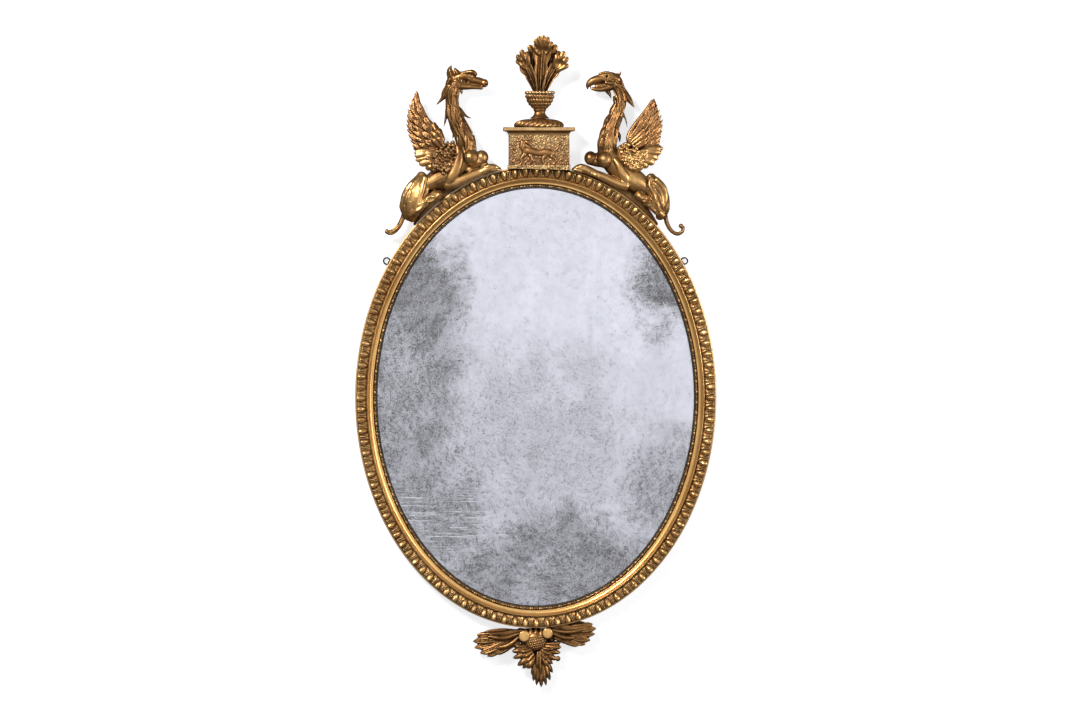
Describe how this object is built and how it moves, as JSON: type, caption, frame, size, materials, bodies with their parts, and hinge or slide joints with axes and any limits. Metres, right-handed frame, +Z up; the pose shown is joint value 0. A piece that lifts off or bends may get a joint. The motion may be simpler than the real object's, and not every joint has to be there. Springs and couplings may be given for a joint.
{
  "type": "wall mirror",
  "caption": "Oval wall mirror in a carved giltwood frame with egg-and-dart border, winged beasts and urn cresting, and acanthus apron",
  "frame": {"origin": "on the wall plane, at the centre of the oval, on the back of the centre backboard", "axes": "+Z up, the mirror faces -Y, +X to the right as seen from the front, the wall is the plane Y = 0"},
  "size_m": [0.902, 0.0765, 1.6236],
  "materials": {
    "gilt_frame": "aged water gilding over red bole on gessoed pine",
    "gilt_moulding": "aged water gilding, burnished on the high points",
    "gilt_carving": "aged water gilding worn to red bole and wood",
    "blackened_wood": "matt black paint",
    "bare_pine": "bare old pine",
    "old_mirror": "old silvering, foxed and speckled",
    "old_iron": "blackened wrought iron"
  },
  "bodies": {
    "mirror": {"apron_calyx": "gilt_carving", "apron_leaf_left": "gilt_carving", "apron_leaf_right": "gilt_carving", "apron_palmette_left": "gilt_carving", "apron_palmette_right": "gilt_carving", "apron_pendant_leaf": "gilt_carving", "apron_roundel_left": "gilt_carving", "apron_roundel_right": "gilt_carving", "apron_stay": "old_iron", "backboard_centre": "bare_pine", "backboard_left": "bare_pine", "backboard_right": "bare_pine", "bead_and_reel_moulding": "gilt_moulding", "beast_left_body": "gilt_carving", "beast_left_foreleg": "gilt_carving", "beast_left_head_and_neck": "gilt_carving", "beast_left_hind_leg": "gilt_carving", "beast_left_lower_wing": "gilt_carving", "beast_left_tail": "gilt_carving", "beast_left_upper_wing": "gilt_carving", "beast_right_body": "gilt_carving", "beast_right_foreleg": "gilt_carving", "beast_right_head_and_neck": "gilt_carving", "beast_right_hind_leg": "gilt_carving", "beast_right_lower_wing": "gilt_carving", "beast_right_tail": "gilt_carving", "beast_right_upper_wing": "gilt_carving", "beast_stay_left": "old_iron", "beast_stay_right": "old_iron", "carcass": "gilt_frame", "crest_stay": "old_iron", "egg_and_dart_moulding": "gilt_moulding", "gadrooned_dome": "gilt_carving", "glazing_block_1": "bare_pine", "glazing_block_2": "bare_pine", "glazing_block_3": "bare_pine", "glazing_block_4": "bare_pine", "glazing_block_5": "bare_pine", "glazing_block_6": "bare_pine", "hanger_plate_left": "old_iron", "hanger_plate_right": "old_iron", "hanger_screw_left_1": "old_iron", "hanger_screw_left_2": "old_iron", "hanger_screw_right_1": "old_iron", "hanger_screw_right_2": "old_iron", "mirror_plate": "old_mirror", "plinth_cornice": "gilt_carving", "plinth_die": "gilt_carving", "plinth_relief": "gilt_carving", "plume_leaf_centre": "gilt_carving", "plume_leaf_left": "gilt_carving", "plume_leaf_outer_left": "gilt_carving", "plume_leaf_outer_right": "gilt_carving", "plume_leaf_right": "gilt_carving", "sight_slip": "blackened_wood", "urn": "gilt_carving", "urn_beaded_rim": "gilt_carving"},
    "left_ring": {"hanging_ring_left": "old_iron"},
    "right_ring": {"hanging_ring_right": "old_iron"}
  },
  "joints": [
    {"name": "left_ring_hinge", "type": "hinge", "parent": "mirror", "child": "left_ring", "pos_m": [-0.36492, -0.0049, 0.33732], "axis": [0.4908, 0, 0.8713], "range_deg": [0, 85]},
    {"name": "right_ring_hinge", "type": "hinge", "parent": "mirror", "child": "right_ring", "pos_m": [0.36492, -0.0049, 0.33732], "axis": [0.4908, 0, -0.8713], "range_deg": [0, 85]}
  ]
}
